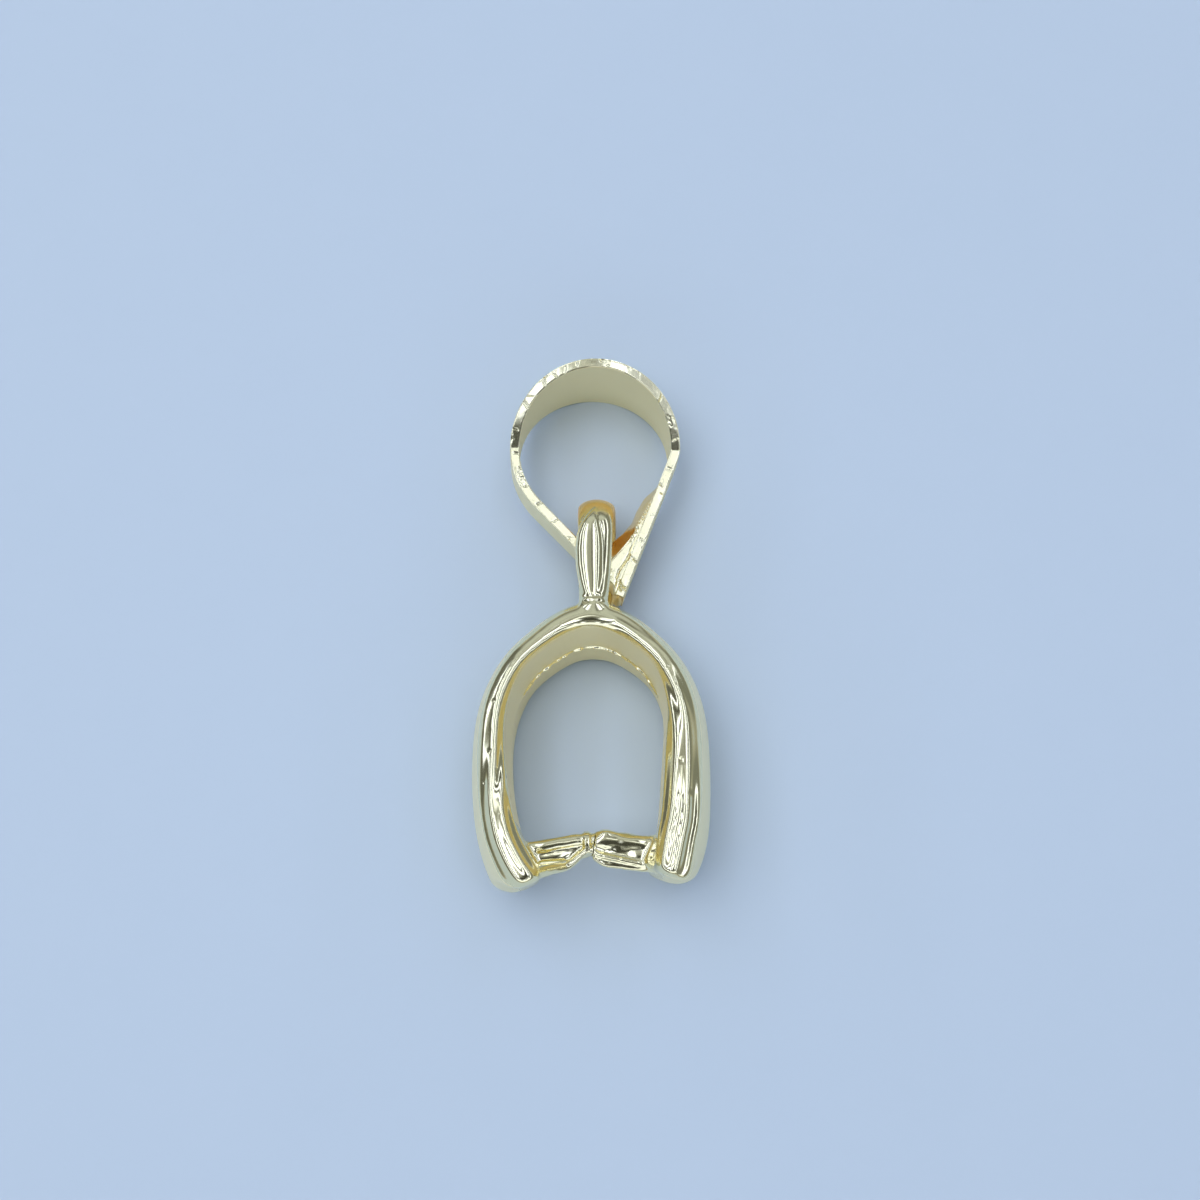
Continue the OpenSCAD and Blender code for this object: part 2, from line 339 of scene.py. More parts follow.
def rim_points(u):
    """The rims' outer line. u runs from the left arm's end (-LAST_ROW) to the right arm's (LAST_ROW)."""
    rows = curve_rows(ARM_ROWS, np.abs(u))
    left = u < 0
    across = np.where(left, -rows[:, 0], rows[:, 1]) * CLIP_W / 2
    down = rows[:, 2]
    return np.c_[across, -EYE_DROP - down * (ARM_LEN - np.where(left, 0, ARM_ODDS * down))]


def arm_ways(u):
    """The unit vector along the rims' line at each u. Beyond END_ROW it turns no further."""
    k = np.clip(u, -END_ROW, END_ROW)
    way = rim_points(np.minimum(k + 0.25, LAST_ROW)) - rim_points(np.maximum(k - 0.25, -LAST_ROW))
    way = evened(way, 2 * EVEN)
    return way / np.linalg.norm(way, axis=1)[:, None]


def arm_swell(turn, share, height, x, fade):
    """How far the dome stands out, and the ridge along the inner wall in. height is 1 at the near rim."""
    outer = (1 + np.cos(turn)) / 2
    crown = bump(x, CROWN_X, CROWN_HALF)
    ridge = RIDGE_H + CROWN_RIDGE * crown
    swell = fade * (outer * DOME_H * (1 - share**2) - (1 - outer) * ridge * (1 - share))
    return swell - (1 - outer) * CROWN_BACK * crown * step(0.1, -0.8, height)


def arm_flutes(turn, side, length, y, r, drift, fade):
    """How far the rims stand out from their round. side is 1 on the near rim and -1 on the far one."""
    spot = np.c_[np.full(len(turn), length), turn, side * 3 + 5]
    wander = noise(spot, (4.0, 0.85, 1), 11) + 0.4 * noise(spot, (2.2, 0.55, 1), 12)
    low_down = step(-5, -12, y)
    depth = (FLUTE_DEPTH + FLUTE_GAIN * low_down) * (0.8 + 0.6 * noise(spot, (3.5, 0.8, 1), 14))
    size = r / FLUTE_R
    phase = FLUTES * size * turn + drift + 0.8 * noise(spot, (3.2, 1.2, 1), 15)
    flute = size * depth * np.sin(phase) + (WANDER + WANDER * low_down) * wander
    return flute * (np.where(side > 0, 1, FAR_FLUTES) * np.abs(side) * np.sin(turn) ** 0.5 * fade)


def arms_part():
    """The U-shaped band with its domed outside, its thick rims and their lengthwise flutes."""
    u = np.linspace(-LAST_ROW, LAST_ROW, RINGS_PER_ROW * LAST_ROW + 1)
    left = u < 0
    rows = evened(curve_rows(ARM_ROWS, np.abs(u)), EVEN)
    line = evened(rim_points(u), EVEN)
    way = arm_ways(u)
    out = np.c_[-way[:, 1], way[:, 0]]
    thick = evened(RIM_T * np.where(left, rows[:, 3], rows[:, 4]), EVEN)
    half_deep = CLIP_DEEP / 2 * rows[:, 5]
    length = lengths(line)
    fade = step(-0.6, 2.2, LAST_ROW - np.abs(u))
    reach = evened(np.interp(np.abs(u), *NEAR_ENDS), EVEN)
    ends = step(END_ROW - 0.8, LAST_ROW - 0.4, np.abs(u))
    drift = 2.5 * noise(np.c_[length, length * 0, length * 0], 3.4, 13)
    rim = np.linspace(0, math.pi, RIM_N)
    inner = np.linspace(1, -1, FACE_N + 2)[1:-1]
    plain = np.zeros(FACE_N)
    turn = np.r_[rim, plain + math.pi, math.pi - rim, plain]
    side = np.r_[np.ones(RIM_N), plain, -np.ones(RIM_N), plain]
    rings = []
    for i, deep in enumerate(half_deep):
        r = min(thick[i] / 2, deep * 0.95)
        flat = deep - r
        z = np.r_[flat + r * np.sin(rim), flat * inner, -flat - r * np.sin(rim), -flat * inner]
        z = np.where(z > 0, z * reach[i], z)
        share = np.minimum(1, np.abs(z) / (deep * np.where(z > 0, reach[i], 1)))
        swell = arm_swell(turn, share, z / deep, line[i][0], fade[i])
        flute = arm_flutes(turn, side, length[i], line[i][1], r, drift[i], fade[i])
        from_line = (r + flute) * np.cos(turn) + swell - r
        shift = np.array(END_SHIFT[0 if left[i] else 1])
        xy = line[i] + from_line[:, None] * out[i]
        xy = xy + (ends[i] * step(SHIFT_FROM, SHIFT_TO, z))[:, None] * shift
        rings.append(np.c_[xy, z + side * flute])
    return skin(rings)


# The eye's wire, by height along a leg: its half width, how far it stands out from the eye's own circle
# to run into the rim, and half its thickness. Then its half width by the angle over the top.
LEG_ROWS = np.array([
    [-4.28, 1.80, 0.08, 0.34],
    [-4.15, 1.62, 0.14, 0.44],
    [-3.93, 1.28, 0.15, 0.47],
    [-3.72, 0.97, 0.14, 0.49],
    [-3.50, 0.74, 0.12, 0.50],
    [-3.24, 0.64, 0.06, 0.46],
    [-2.90, 0.66, 0.00, 0.42],
    [-2.00, 0.73, -0.03, 0.39],
    [-1.00, 0.77, -0.03, 0.38],
    [0.00, 0.79, -0.03, 0.38],
])
TOP_TURNS = [0, 40, 90, 140, 180]
TOP_HALF = [0.79, 0.83, 0.87, 0.87, 0.82]
# Where the wire's thickness changes from the legs' to the top's, in degrees over the top
TOP_BLEND = ([0, 60, 120, 180], [0, 1, 1, 0])
# The far leg is wider by this much on each side
FAR_LEG_WIDER = 0.09
EYE_LEAN = 0.012
EYE_SIDE = 0.07
# The smooth raised lens on the near leg: height, its middle and its half width
LENS_ROWS = np.array([
    [-3.12, 0.00, 0.06], [-3.08, 0.00, 0.24], [-2.99, -0.01, 0.38], [-2.84, -0.03, 0.47],
    [-2.30, -0.07, 0.56], [-1.60, -0.12, 0.63], [-0.80, -0.14, 0.66], [-0.10, -0.13, 0.61],
    [0.40, -0.10, 0.49], [0.80, -0.04, 0.32], [1.10, 0.03, 0.17], [1.32, 0.10, 0.04],
])
# How far its crest is from the eye's centre, and how deep it sinks into the leg
LENS_OUT = 2.27
LENS_SINK = 0.46


def eye_part():
    """The eye: a rounded wire that runs up a near leg, over the top and down a far leg."""
    leg = np.linspace(LEG_ROWS[0, 0], 0, 80)[:-1]
    turn = np.linspace(0, math.pi, 80)
    degrees = np.degrees(turn)
    half, stand, thick = (np.interp(leg, LEG_ROWS[:, 0], LEG_ROWS[:, k]) for k in (1, 2, 3))
    near = np.c_[leg, EYE_MID_R + stand]
    far = np.c_[leg, -EYE_MID_R - stand][::-1]
    blend = np.interp(degrees, *TOP_BLEND)
    last_stand, last_thick = LEG_ROWS[-1, 2:]
    radius = EYE_MID_R + last_stand * (1 - blend)
    over = np.c_[radius * np.sin(turn), radius * np.cos(turn)]
    centres = np.vstack([near, over, far])
    near_out, far_out = (np.tile((0, way), (len(leg), 1)) for way in (1, -1))
    outs = np.vstack([near_out, np.c_[np.sin(turn), np.cos(turn)], far_out])
    halves = np.r_[half, np.interp(degrees, TOP_TURNS, TOP_HALF), half[::-1] + FAR_LEG_WIDER]
    thicks = np.r_[thick, last_thick + (EYE_T / 2 - last_thick) * blend, thick[::-1]]
    around = np.linspace(0, 2 * math.pi, 56, endpoint=False)
    rings = []
    for centre, out, half_x, half_r in zip(centres, outs, halves, thicks):
        yz = centre + (half_r * np.sin(around))[:, None] * out
        x = half_x * np.cos(around) + EYE_LEAN * (centre[0] + EYE_DROP) + EYE_SIDE
        rings.append(np.c_[x, yz])
    return skin(rings)


def lens_part():
    """The lens on the near leg, which follows the eye's round at its top."""
    height = np.linspace(LENS_ROWS[0, 0], LENS_ROWS[-1, 0], 70)
    around = np.linspace(0, 2 * math.pi, 48, endpoint=False)
    rings = []
    for y in height:
        middle, half = (np.interp(y, LENS_ROWS[:, 0], LENS_ROWS[:, k]) for k in (1, 2))
        out = LENS_OUT if y < 0 else math.sqrt(LENS_OUT**2 - y * y)
        sink = LENS_SINK * (0.5 + 0.5 * min(1, half / 0.5))
        x = middle + half * bulged(np.cos(around), 0.8)
        z = out - sink + sink * bulged(np.sin(around), 0.8)
        rings.append(np.c_[x, np.full(len(x), y), z])
    return skin(rings)


# The web of metal under the eye's hole, from the top down: its height and half width
FOOT_ROWS = [(-2.56, 0.50), (-2.85, 0.54), (-3.24, 0.58), (-3.50, 0.72), (-3.72, 0.95), (-3.93, 1.26),
             (-4.15, 1.60), (-4.35, 1.95)]


def foot_part():
    """The web of metal between the two legs, under the eye's hole, that flares into the crown."""
    around = np.linspace(0, 2 * math.pi, 48, endpoint=False)
    rings = []
    for y, half in FOOT_ROWS:
        x = half * bulged(np.cos(around), 0.5)
        z = EYE_MID_R * bulged(np.sin(around), 0.5)
        rings.append(np.c_[x, np.full(len(around), y), z])
    return skin(rings)


def bar_part(rows, seed=0, crumple=0.0):
    """A round bar through the rows' points. A row's last number is its radius. crumple makes it uneven."""
    k = np.arange(len(rows))
    t = np.linspace(0, len(rows) - 1, 14 * len(rows))
    centre = np.array([np.interp(t, k, rows[:, i]) for i in range(3)])
    padded = np.pad(centre, ((0, 0), (4, 4)), mode="edge")
    centre = np.array([np.convolve(line, np.ones(9) / 9, "valid") for line in padded]).T
    radius = np.interp(t, k, rows[:, 3])
    way = np.gradient(centre, axis=0)
    way /= np.linalg.norm(way, axis=1)[:, None]
    across = np.cross(way, (0, 0, 1.0))
    across /= np.linalg.norm(across, axis=1)[:, None]
    up = np.cross(across, way)
    a = np.linspace(0, 2 * math.pi, 28, endpoint=False)
    rings = []
    for i in range(len(t)):
        spot = np.c_[np.full(len(a), t[i] * 1.3), 1.6 * np.cos(a), 1.6 * np.sin(a)]
        spread = radius[i] * (1 + crumple * noise(spot, 0.8, seed))
        ring = centre[i] + (spread * np.cos(a))[:, None] * across[i]
        rings.append(ring + (spread * np.sin(a))[:, None] * up[i])
    return skin(rings)


# Each prong is a core with ridges on its near side. A row has a point (across, up, towards the viewer) and
# the bar's radius there.
LEFT_PRONG = {
    "core": [(-4.1, -14.78, -0.12, 0.70), (-3.5, -14.70, -0.12, 0.66), (-2.5, -14.56, -0.12, 0.58),
             (-1.3, -14.36, -0.12, 0.53), (-0.6, -14.12, -0.10, 0.46), (0.0, -14.0, -0.08, 0.38)],
    "top": [(-4.1, -14.34, 0.26, 0.34), (-3.4, -14.25, 0.26, 0.34), (-2.2, -14.10, 0.28, 0.32),
            (-1.3, -13.93, 0.27, 0.31), (-0.65, -13.80, 0.25, 0.31), (-0.2, -13.78, 0.22, 0.30)],
    "ridge": [(-3.30, -14.90, 2.50, 0.38), (-3.22, -15.35, 2.50, 0.40), (-3.05, -15.62, 2.35, 0.42),
              (-2.65, -15.55, 1.85, 0.38), (-2.10, -15.30, 1.20, 0.30), (-1.54, -15.10, 0.75, 0.24),
              (-1.04, -14.98, 0.45, 0.19), (-0.70, -14.72, 0.38, 0.17), (-0.35, -14.36, 0.36, 0.15),
              (0.05, -14.12, 0.34, 0.15)],
}
RIGHT_PRONG = {
    "core": [(0.0, -14.0, -0.08, 0.38), (0.6, -14.10, -0.12, 0.52), (1.3, -14.24, -0.12, 0.57),
             (2.2, -14.36, -0.12, 0.60), (3.4, -14.42, -0.12, 0.66), (4.1, -14.42, -0.12, 0.70)],
    "top": [(0.12, -13.86, 0.12, 0.40), (0.62, -13.74, 0.16, 0.46), (1.28, -13.84, 0.14, 0.44),
            (2.16, -13.97, 0.13, 0.44), (3.3, -13.97, 0.13, 0.46), (4.1, -13.97, 0.13, 0.48)],
    "ridge": [(0.05, -14.24, 0.34, 0.14), (0.45, -14.48, 0.40, 0.13), (1.2, -14.62, 0.40, 0.12),
              (2.2, -14.82, 0.36, 0.13), (3.2, -14.94, 0.30, 0.18), (3.9, -15.0, 0.28, 0.22)],
    "low": [(0.10, -14.45, 0.24, 0.14), (0.6, -14.80, 0.24, 0.14), (1.4, -14.90, 0.22, 0.14),
            (2.4, -15.02, 0.20, 0.15), (3.3, -15.10, 0.20, 0.18), (3.9, -15.15, 0.20, 0.22)],
}
TAB = [(-0.30, -13.90, 0.08, 0.54), (0.0, -13.88, 0.08, 0.54)]


def prong_parts():
    """Both prongs as one bar, which is cut near its middle later, and the small tab at the left one's tip."""
    parts = []
    for prong, crumple in ((LEFT_PRONG, 0.05), (RIGHT_PRONG, 0.10)):
        for k, rows in enumerate(prong.values()):
            parts.append(bar_part(np.array(rows), seed=31 + k, crumple=crumple))
    parts.append(bar_part(np.array(TAB)))
    return parts


def box_part(middle, half, lean, slant):
    """A slab that leans about the viewing direction and slants across it with depth, to cut with."""
    c, s = math.cos(lean), math.sin(lean)
    corners = []
    for z in (-1, 1):
        for x, y in ((-1, -1), (1, -1), (1, 1), (-1, 1)):
            x, y = x * half[0], y * half[1]
            far = z * half[2]
            corner = (middle[0] + x * c - y * s + slant * far, middle[1] + x * s + y * c, middle[2] + far)
            corners.append(corner)
    faces = [(3, 2, 1, 0), (4, 5, 6, 7), (0, 1, 5, 4), (1, 2, 6, 5), (2, 3, 7, 6), (3, 0, 4, 7)]
    return np.array(corners), faces


def combine(obj, part, operation):
    """Adds a closed part to obj or cuts it away, exactly."""
    other = joined("part", [part])
    change = obj.modifiers.new(operation, "BOOLEAN")
    change.operation = operation
    change.solver = "MANIFOLD"
    change.object = other
    apply_modifiers(obj)
    removed(other)


def refined(obj, chosen):
    """Splits the faces whose points are all chosen into four, and the ones beside them to fit."""
    bm = bmesh.new()
    bm.from_mesh(obj.data)
    bm.verts.ensure_lookup_table()
    edges = [e for e in bm.edges if chosen[e.verts[0].index] and chosen[e.verts[1].index]]
    bmesh.ops.subdivide_edges(bm, edges=edges, cuts=1, use_grid_fill=True)
    bmesh.ops.triangulate(bm, faces=[f for f in bm.faces if len(f.verts) > 4])
    bm.to_mesh(obj.data)
    bm.free()


# The raised seam that the mould left along the middle of the inner wall: its height and half width
SEAM_H = 0.12
SEAM_W = 0.075
# The part of the clip that gets finer faces for it: half its width, its lowest and highest y, half its depth
SEAM_BOX = (3.9, -10.2, -4.2, 0.34)
# The middle of the clip's inside, along y
INSIDE_Y = -9.0


def seam(obj):
    """Raises the rough seam along the inner wall's middle."""
    half_x, low, high, half_z = SEAM_BOX
    for _ in range(2):
        x, y, z = points_of(obj).T
        refined(obj, (abs(z) < half_z) & (y > low) & (y < high) & (abs(x) < half_x))
    co = points_of(obj)
    n = normals_of(obj)
    x, y, z = co.T
    inward = -(n[:, 0] * x + n[:, 1] * (y - INSIDE_Y)) / np.hypot(x, y - INSIDE_Y)
    wander = 0.05 * noise(co, (0.9, 0.9, 5), 41) + 0.03 * noise(co, (0.3, 0.3, 5), 42)
    rough = 0.85 + 0.45 * noise(co, (0.18, 0.18, 5), 43)
    away = (z - wander) / SEAM_W
    height = SEAM_H * rough * np.exp(-away * away) * step(0.3, 0.7, inward) * step(-7.6, -6.6, y)
    height *= step(0.35, 0.9, -(y + 3.6))
    set_points(obj, co + n * height[:, None])


# Small dents in the cast rims: where each lies, its radius and its depth
DENTS = [(-3.72, -6.05, 0.07, 0.05), (-4.18, -8.2, 0.05, 0.035), (-4.28, -10.5, 0.08, 0.05),
         (-4.45, -11.9, 0.05, 0.04), (-3.95, -11.4, 0.09, 0.03), (4.05, -9.2, 0.05, 0.04),
         (3.35, -6.65, 0.07, 0.05), (3.9, -10.9, 0.12, 0.03), (4.28, -12.3, 0.10, 0.03)]
# The ripple all over, the groove under the lens, and the facets at the eye's foot, as depths
RIPPLE = 0.007
GROOVE = 0.03
FACETS = 0.055


def surface_marks(obj):
    """Foot facets, dents and the faint ripple of a casting."""
    co = points_of(obj)
    n = normals_of(obj)
    x, y, z = co.T
    ripple = RIPPLE * noise(co, 1.9, 51)
    front = step(0.5, 0.9, n[:, 2])
    groove = -GROOVE * bump(y + 0.1 * x**2, -3.14, 0.12) * front * step(0.5, 0.25, abs(x))
    facets = FACETS * noise(co, (0.22, 0.26, 0.6), 53) * bump(y, -3.36, 0.24) * front
    facets *= step(0.8, 0.5, abs(x))
    dents = np.zeros(len(co))
    for dent_x, dent_y, radius, depth in DENTS:
        away = np.hypot(x - dent_x, y - dent_y) / radius
        dents -= depth * step(1, 0.2, away) * step(0, 0.3, z)
    set_points(obj, co + n * (ripple + groove + facets + dents)[:, None])


# The size of the clip's faces, and the share of them that is kept where it is plain
VOXEL = 0.086
KEPT_SHARE = 0.83


def thinned(obj, plain, keep):
    """Merges triangles where the surface is plain, until the mesh has that share of its triangles."""
    group = obj.vertex_groups.new(name="plain")
    group.add(np.flatnonzero(plain).tolist(), 1, "REPLACE")
    fewer = obj.modifiers.new("fewer", "DECIMATE")
    fewer.ratio = keep
    fewer.vertex_group = "plain"
    apply_modifiers(obj)
    obj.vertex_groups.clear()


# The cut between the two tips: its middle, half its height and depth, its lean in degrees, and how far it
# shifts across with depth
TIP_CUT = (0.05, -14.2, 0.1)
CUT_REACH = 1.3
CUT_LEAN = -6
CUT_SLANT = 0.25


def softened(co, edges):
    """Evens out the whole clip a little, and the eye's foot and the prongs' roots more."""
    co = smoothed(co, edges, 4)
    x, y, z = co.T
    foot = bump(y, -3.9, 1.0) * bump(x, 0, 2.6)
    roots = bump(y, -14.6, 2.0) * step(2.0, 2.6, np.abs(x)) * step(2.7, 2.2, z)
    co = smoothed(co, edges, 12, back=0, mask=np.clip(foot, 0, 1))
    return smoothed(co, edges, 10, back=0, mask=np.clip(1.5 * roots, 0, 1))


def plain_places(obj):
    """The points on the walls and the underside, where fewer faces do."""
    x, y, z = points_of(obj).T
    walls = (y < -4.6) & (np.abs(normals_of(obj)[:, 2]) < 0.35) & (np.abs(z) > 0.45)
    walls &= (y > -13.0) | (np.abs(x) > 4.0)
    return walls | (z < -1.5)


def clip_metal():
    """The whole cast clip as one skin."""
    obj = joined("clip_metal", [arms_part(), eye_part(), lens_part(), foot_part(), *prong_parts()])
    fused(obj, VOXEL)
    set_points(obj, softened(points_of(obj), edges_of(obj)))
    surface_marks(obj)
    seam(obj)
    cut = box_part(TIP_CUT, (TIP_GAP / 2, CUT_REACH, CUT_REACH), math.radians(CUT_LEAN), CUT_SLANT)
    combine(obj, cut, "DIFFERENCE")
    thinned(obj, plain_places(obj), KEPT_SHARE)
    return obj


# Laying the parts down

def to_frame(obj, matrix):
    """From millimetres round the eye to metres in the CAD frame."""
    co = points_of(obj)
    m = np.array(matrix)
    set_points(obj, (co @ m[:3, :3].T + m[:3, 3]) * MM)


# The clip leans by this angle on the floor, with the eye's centre this far up along y from the origin
CLIP_TILT = math.radians(6.04762)
CLIP_UP = 3.71716
CLIP_TURN = Matrix.Rotation(-CLIP_TILT, 4, "X")

swing = frame["joints"][0]
LOOP_AXIS = Vector(swing["axis"]).normalized()
HINGE = Vector(swing["pos_m"]) / MM
LOOP_ROLL = math.asin(LOOP_AXIS.x)
LOOP_TILT = math.atan2(-LOOP_AXIS.y, LOOP_AXIS.z)


def loop_matrix():
    """Lays the loop's plane square to the joint's axis, with the eye's top wire on the hinge."""
    turn = Matrix.Rotation(LOOP_TILT, 4, "X") @ Matrix.Rotation(LOOP_ROLL, 4, "Y")
    return Matrix.Translation(HINGE - turn @ Vector((0, EYE_MID_R, 0))) @ turn


# The strap loop

def unit(angle):
    """The unit vector in the strap's plane at an angle from its x axis."""
    return np.array([math.cos(angle), math.sin(angle)])


LOOP_MID = np.array([0, LOOP_UP])
BEND = LOOP_MID + (LOOP_R - STRAP_T) * unit(BEND_ANGLE)
RIGHT_WAY = -unit(math.pi / 2 - RIGHT_LEAN)
RIGHT_OUT = unit(-RIGHT_LEAN)
LEFT_WAY = unit(ARC_END + math.pi / 2)
LEFT_START = LOOP_MID + (LOOP_R - STRAP_T / 2) * unit(ARC_END)
FOLD = LEFT_START + LEFT_ARM_LEN * LEFT_WAY
TAIL = BEND + RIGHT_ARM_LEN * RIGHT_WAY


def spaced_to(points, count):
    """The line through points as this many evenly spaced ones."""
    points = np.asarray(points, float)
    s = lengths(points)
    t = np.linspace(0, s[-1], count)
    return np.c_[np.interp(t, s, points[:, 0]), np.interp(t, s, points[:, 1])]


def spaced(points, gap):
    """The line through points as evenly spaced ones about a gap apart."""
    return spaced_to(points, max(2, int(lengths(np.asarray(points, float))[-1] / gap)))


def eased(line, rounds):
    """The line with its corners rounded, and its ends kept."""
    line = line.copy()
    for _ in range(rounds):
        line[1:-1] = (line[:-2] + 2 * line[1:-1] + line[2:]) / 4
    return line


def strap_width(y):
    """How wide the strap is at height y."""
    return np.interp(y, [0, LOOP_UP, LOOP_UP + LOOP_R], [STRAP_END_W, STRAP_ARM_W, STRAP_W])


# The distance between the strap's points, and the rounds that ease its corners
STRAP_STEP = 0.04
STRAP_ROUNDS = 14


def strap_route():
    """The middle of the strap's thickness, from its tail up the right arm, round and down to the fold."""
    angles = np.linspace(BEND_ANGLE + 0.06, ARC_END, 160)
    arc = [LOOP_MID + (LOOP_R - STRAP_T / 2) * unit(a) for a in angles]
    tail = TAIL + STRAP_T / 2 * RIGHT_OUT
    return eased(spaced([tail, *arc, FOLD], STRAP_STEP), STRAP_ROUNDS)


# How much the strap's far edge is lifted, so that its marks stay above the floor
FAR_LIFT = 0.06
# The strap's softened corners, and the points across its face
CORNER = 0.05
STRAP_FACE_N = 24


def band_part(route, width):
    """The flat band along a route in the strap's plane, with soft corners and cut marks on both edges."""
    forward = np.gradient(route, axis=0)
    forward /= np.linalg.norm(forward, axis=1)[:, None]
    side = np.c_[forward[:, 1], -forward[:, 0]]
    s = lengths(route)
    t = STRAP_T / 2
    cut = CORNER * 0.3
    across = np.linspace(-t + CORNER, t - CORNER, 14)
    share = np.sin(np.linspace(-1, 1, STRAP_FACE_N) * math.pi / 2)
    inner = np.full(STRAP_FACE_N, t)
    near = cut_marks(s, across, 61)
    far = cut_marks(s, across, 62)
    rings = []
    for i in range(len(route)):
        w = width[i] / 2
        deep = share * (w - CORNER)
        low = FAR_LIFT - w
        ring = np.vstack([
            np.c_[inner, deep],
            [[t - cut, w - cut]],
            np.c_[across, w + near[i]][::-1],
            [[-t + cut, w - cut]],
            np.c_[-inner, deep[::-1]],
            [[-t + cut, low + cut]],
            np.c_[across, low - far[i]],
            [[t - cut, low + cut]],
        ])
        xy = route[i] + ring[:, :1] * side[i]
        rings.append(np.c_[xy, ring[:, 1]])
    return skin(rings)


def cut_marks(s, across, seed):
    """Height of the sheared edge: shallow waves, and sharp nicks across it at uneven steps."""
    draw = np.random.default_rng(seed)
    spot = np.zeros((len(s) * len(across), 3))
    spot[:, 0] = np.repeat(s, len(across))
    spot[:, 1] = np.tile(across, len(s))
    height = 0.012 * noise(spot, (0.9, 0.6, 1), seed) + 0.0018 * noise(spot, (0.14, 0.16, 1), seed + 10)
    torn = step(0.42, 0.62, noise(spot, (1.0, 0.35, 1), seed + 20))
    height -= torn * (0.010 + 0.032 * np.abs(noise(spot, (0.11, 0.10, 1), seed + 30)))
    height = height.reshape(len(s), len(across))
    place = 0.3
    while place < s[-1]:
        half = draw.uniform(0.018, 0.05)
        depth = draw.uniform(0.012, 0.055)
        slant = draw.uniform(-0.7, 0.7)
        middle = draw.uniform(-0.2, 0.2)
        reach = draw.uniform(0.08, 0.36)
        along = (s[:, None] - place - slant * across) / half
        height -= depth * np.exp(-along**2) * step(reach, reach * 0.6, np.abs(across - middle))
        place += draw.uniform(0.2, 1.5)
    return height


def arm_line(y, out=0.0):
    """The point at height y on the right arm's inner face, or that far out from it."""
    return BEND + (BEND[1] - y) / -RIGHT_WAY[1] * RIGHT_WAY + out * RIGHT_OUT


# The soldered end beside the right arm, as seen from the near side: the line where its slope starts, which
# has beads of solder on it, the line where it ends, deeper down, and the filed flat part under the slope
BEAD_LINE = [(3.02, 2.85), (2.72, 2.2), (2.22, 1.3), (1.95, 0.72), (1.70, 0.1), (1.13, -0.5), (0.60, -1.12),
             (0.50, -1.30)]
DEEP_LINE = [(3.05, 3.07), (2.68, 2.72), (2.35, 2.42), (2.02, 1.84), (1.74, 1.20), (1.36, 0.71), (0.90, 0.33),
             (0.05, -0.55)]
FLAT_EDGE = [(1.70, 0.1), (1.13, -0.5), (0.58, -1.15), (0.55, -1.48), (0.62, -1.72), (0.90, -2.02),
             (0.94, -2.36)]
# The heights of its underside, of its slope's foot and of its top
LAP_BOTTOM = -0.78
LAP_SLOPE = -0.25
LAP_TOP = 0.99


def lap_part():
    """The end of the left arm, folded up against the right arm and soldered, with its sloping near side."""
    top = spaced_to(BEAD_LINE, 48)
    deep = spaced_to(DEEP_LINE, 48)
    back = spaced_to([arm_line(-1.9, 0.1), arm_line(2.85, 0.15)], 24)
    rings = []
    for z in np.r_[np.linspace(LAP_BOTTOM, LAP_SLOPE, 6)[:-1], np.linspace(LAP_SLOPE, LAP_TOP, 26)]:
        share = np.clip((z - LAP_SLOPE) / (LAP_TOP - LAP_SLOPE), 0, 1) ** 1.15
        edge = deep + (top - deep) * share
        outline = np.vstack([edge, back])
        level = np.full(len(outline), z)
        wave = 0.03 * noise(np.c_[outline, level], 0.5, 71)
        rings.append(np.c_[outline + wave[:, None] * -RIGHT_OUT, level])
    return skin(rings)


# How far the filed flat lies under the strap's edges, and how its corners are softened
FLAT_DROP = 0.012
FLAT_CORNER = 0.03


def flat_part():
    """The filed flat of solder between the fold and the right arm, level with the strap's edges."""
    edge = [arm_line(0.9, -0.10), *FLAT_EDGE]
    outline = spaced_to([*edge, arm_line(-2.40, 0.15), arm_line(0.9, 0.2)], 120)
    middle = outline.mean(0)
    away = outline - middle
    far = np.linalg.norm(away, axis=1)[:, None]
    top = STRAP_END_W / 2 - FLAT_DROP
    whole = top - FLAT_CORNER
    rings = []
    for z in (-top, -whole, -0.5, 0, 0.5, whole, top):
        shrink = FLAT_CORNER if abs(z) == top else 0
        rings.append(np.c_[middle + away * (1 - shrink / far), np.full(len(outline), z)])
    return skin(rings)


# Beads of solder along the slope: where each lies and its radii along and across
BEADS = [(2.66, 2.06, 0.10, 0.05), (2.52, 1.84, 0.07, 0.05), (2.43, 1.60, 0.11, 0.07),
         (2.31, 1.40, 0.08, 0.07), (2.22, 1.20, 0.12, 0.08), (2.05, 0.98, 0.09, 0.07),
         (1.95, 0.70, 0.13, 0.11), (1.90, 0.47, 0.08, 0.07), (1.74, 0.26, 0.10, 0.09),
         (1.66, 0.06, 0.09, 0.06)]
# How far their middles lie under the strap's edges, and their radius upwards
BEAD_SINK = 0.07
BEAD_H = 0.10
# The lump of solder at the tail: its middle and its radii
TAIL_LUMP = ((1.12, -2.46, -0.1), (0.22, 0.27, 0.92))


def route_gap(co, route):
    """The distance in the strap's plane from each point to a line of points."""
    line = spaced(route, 0.02)
    best = np.full(len(co), 9.0)
    for x, y in line:
        best = np.minimum(best, np.hypot(co[:, 0] - x, co[:, 1] - y))
    return best


# Cracks in the near flat: the line of each, its half width and its depth
CRACKS = [
    ([(1.60, -0.58), (1.50, -0.80), (1.32, -1.08), (1.12, -1.34), (1.04, -1.66)], 0.045, 0.065),
    ([(0.66, -1.54), (0.90, -1.84), (1.20, -2.28)], 0.04, 0.055),
    ([(1.10, -1.70), (1.25, -2.02), (1.48, -2.36)], 0.035, 0.05),
    ([(0.98, -1.95), (1.30, -2.12), (1.52, -2.20)], 0.035, 0.05),
    ([(0.70, -1.30), (0.74, -1.38)], 0.04, 0.04),
]


